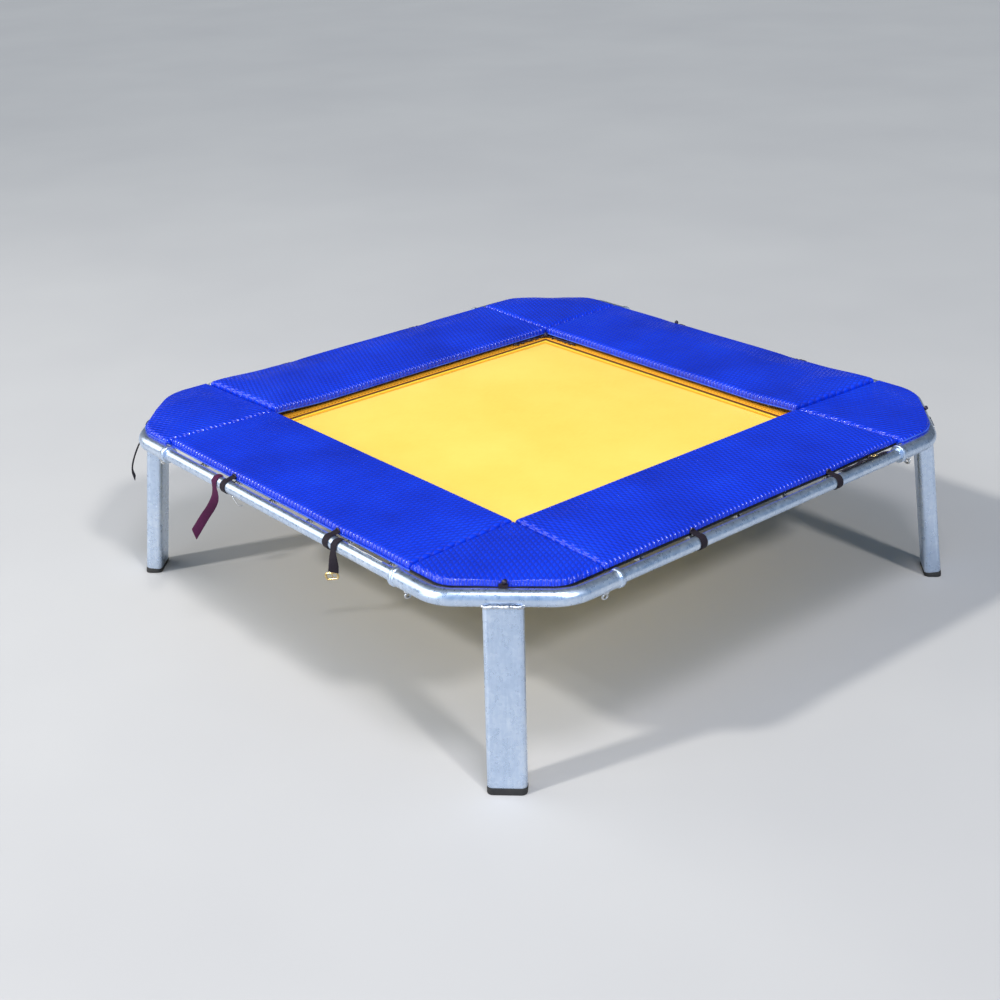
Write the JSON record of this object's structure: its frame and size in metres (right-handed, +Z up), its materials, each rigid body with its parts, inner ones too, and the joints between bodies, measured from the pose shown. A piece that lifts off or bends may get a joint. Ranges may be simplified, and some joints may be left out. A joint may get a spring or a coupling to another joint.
{
  "type": "trampette",
  "caption": "Square gym trampette: tube frame on splayed legs, sprung bed and padded edges that lift up.",
  "frame": {"origin": "on the floor under the middle of the bed", "axes": "+Z up; the sides are parallel to X and Y"},
  "size_m": [1.1859, 1.1606, 0.3255],
  "materials": {
    "steel": "galvanised, satin",
    "zinc": "zinc plated",
    "foot_rubber": "matte",
    "vinyl": "embossed blue vinyl",
    "bed_fabric": "woven yellow",
    "hem_webbing": "orange webbing",
    "plum_webbing": "plum webbing",
    "black_webbing": "black webbing",
    "brass": "plated"
  },
  "bodies": {
    "frame": {"corner_frame_front_left": "steel", "corner_frame_front_right": "steel", "corner_frame_back_right": "steel", "corner_frame_back_left": "steel", "side_tube_front": "steel", "side_tube_right": "steel", "side_tube_back": "steel", "side_tube_left": "steel", "foot_front_left": "foot_rubber", "foot_front_right": "foot_rubber", "foot_back_right": "foot_rubber", "foot_back_left": "foot_rubber", "tail_strap_left": "plum_webbing", "buckle_strap_left": "black_webbing", "buckle_left": "brass", "corner_strap_back_left": "black_webbing", "spring_front_1": "zinc", "spring_front_2": "zinc", "spring_front_3": "zinc", "spring_front_4": "zinc", "spring_front_5": "zinc", "spring_front_6": "zinc", "spring_right_1": "zinc", "spring_right_2": "zinc", "spring_right_3": "zinc", "spring_right_4": "zinc", "spring_right_5": "zinc", "spring_right_6": "zinc", "spring_back_1": "zinc", "spring_back_2": "zinc", "spring_back_3": "zinc", "spring_back_4": "zinc", "spring_back_5": "zinc", "spring_back_6": "zinc", "spring_left_1": "zinc", "spring_left_2": "zinc", "spring_left_3": "zinc", "spring_left_4": "zinc", "spring_left_5": "zinc", "spring_left_6": "zinc"},
    "bed": {"jump_bed": "bed_fabric", "bed_hem": "hem_webbing"},
    "side_pad_front": {"side_pad_front": "vinyl", "front_strap": "black_webbing", "front_buckle": "brass"},
    "side_pad_right": {"side_pad_right": "vinyl"},
    "side_pad_back": {"side_pad_back": "vinyl"},
    "side_pad_left": {"side_pad_left": "vinyl"},
    "corner_pad_front_left": {"corner_pad_front_left": "vinyl"},
    "corner_pad_front_right": {"corner_pad_front_right": "vinyl"},
    "corner_pad_back_right": {"corner_pad_back_right": "vinyl"},
    "corner_pad_back_left": {"corner_pad_back_left": "vinyl"},
    "clamp_screw_front_left_a": {"clamp_screw_front_left_a": "zinc"},
    "clamp_screw_front_left_b": {"clamp_screw_front_left_b": "zinc"},
    "clamp_screw_front_right_a": {"clamp_screw_front_right_a": "zinc"},
    "clamp_screw_front_right_b": {"clamp_screw_front_right_b": "zinc"},
    "clamp_screw_back_right_a": {"clamp_screw_back_right_a": "zinc"},
    "clamp_screw_back_right_b": {"clamp_screw_back_right_b": "zinc"},
    "clamp_screw_back_left_a": {"clamp_screw_back_left_a": "zinc"},
    "clamp_screw_back_left_b": {"clamp_screw_back_left_b": "zinc"}
  },
  "joints": [
    {"name": "bed_bounce", "type": "slide", "parent": "frame", "child": "bed", "axis": [0, 0, -1], "range_m": [0, 0.12], "stiffness_N_per_m": 8000, "deforming": ["spring_front_1", "spring_front_2", "spring_front_3", "spring_front_4", "spring_front_5", "spring_front_6", "spring_right_1", "spring_right_2", "spring_right_3", "spring_right_4", "spring_right_5", "spring_right_6", "spring_back_1", "spring_back_2", "spring_back_3", "spring_back_4", "spring_back_5", "spring_back_6", "spring_left_1", "spring_left_2", "spring_left_3", "spring_left_4", "spring_left_5", "spring_left_6"]},
    {"name": "side_pad_front_lift", "type": "hinge", "parent": "frame", "child": "side_pad_front", "pos_m": [0, -0.565, 0.303], "axis": [1, 0, 0], "range_deg": [0, 110]},
    {"name": "side_pad_right_lift", "type": "hinge", "parent": "frame", "child": "side_pad_right", "pos_m": [0.565, 0, 0.303], "axis": [0, 1, 0], "range_deg": [0, 110]},
    {"name": "side_pad_back_lift", "type": "hinge", "parent": "frame", "child": "side_pad_back", "pos_m": [0, 0.565, 0.303], "axis": [-1, 0, 0], "range_deg": [0, 110]},
    {"name": "side_pad_left_lift", "type": "hinge", "parent": "frame", "child": "side_pad_left", "pos_m": [-0.565, 0, 0.303], "axis": [0, -1, 0], "range_deg": [0, 110]},
    {"name": "corner_pad_front_left_lift", "type": "hinge", "parent": "frame", "child": "corner_pad_front_left", "pos_m": [-0.49497, -0.49497, 0.303], "axis": [0.7071, -0.7071, 0], "range_deg": [0, 110]},
    {"name": "corner_pad_front_right_lift", "type": "hinge", "parent": "frame", "child": "corner_pad_front_right", "pos_m": [0.49497, -0.49497, 0.303], "axis": [0.7071, 0.7071, 0], "range_deg": [0, 70]},
    {"name": "corner_pad_back_right_lift", "type": "hinge", "parent": "frame", "child": "corner_pad_back_right", "pos_m": [0.49497, 0.49497, 0.303], "axis": [-0.7071, 0.7071, 0], "range_deg": [0, 110]},
    {"name": "corner_pad_back_left_lift", "type": "hinge", "parent": "frame", "child": "corner_pad_back_left", "pos_m": [-0.49497, 0.49497, 0.303], "axis": [-0.7071, -0.7071, 0], "range_deg": [0, 70]},
    {"name": "clamp_screw_front_left_a_turn", "type": "hinge", "parent": "frame", "child": "clamp_screw_front_left_a", "pos_m": [-0.36, -0.565, 0.285], "axis": [0, 0, 1], "continuous": true},
    {"name": "clamp_screw_front_left_b_turn", "type": "hinge", "parent": "frame", "child": "clamp_screw_front_left_b", "pos_m": [-0.565, -0.36, 0.285], "axis": [0, 0, 1], "continuous": true},
    {"name": "clamp_screw_front_right_a_turn", "type": "hinge", "parent": "frame", "child": "clamp_screw_front_right_a", "pos_m": [0.565, -0.36, 0.285], "axis": [0, 0, 1], "continuous": true},
    {"name": "clamp_screw_front_right_b_turn", "type": "hinge", "parent": "frame", "child": "clamp_screw_front_right_b", "pos_m": [0.36, -0.565, 0.285], "axis": [0, 0, 1], "continuous": true},
    {"name": "clamp_screw_back_right_a_turn", "type": "hinge", "parent": "frame", "child": "clamp_screw_back_right_a", "pos_m": [0.36, 0.565, 0.285], "axis": [0, 0, 1], "continuous": true},
    {"name": "clamp_screw_back_right_b_turn", "type": "hinge", "parent": "frame", "child": "clamp_screw_back_right_b", "pos_m": [0.565, 0.36, 0.285], "axis": [0, 0, 1], "continuous": true},
    {"name": "clamp_screw_back_left_a_turn", "type": "hinge", "parent": "frame", "child": "clamp_screw_back_left_a", "pos_m": [-0.565, 0.36, 0.285], "axis": [0, 0, 1], "continuous": true},
    {"name": "clamp_screw_back_left_b_turn", "type": "hinge", "parent": "frame", "child": "clamp_screw_back_left_b", "pos_m": [-0.36, 0.565, 0.285], "axis": [0, 0, 1], "continuous": true}
  ]
}
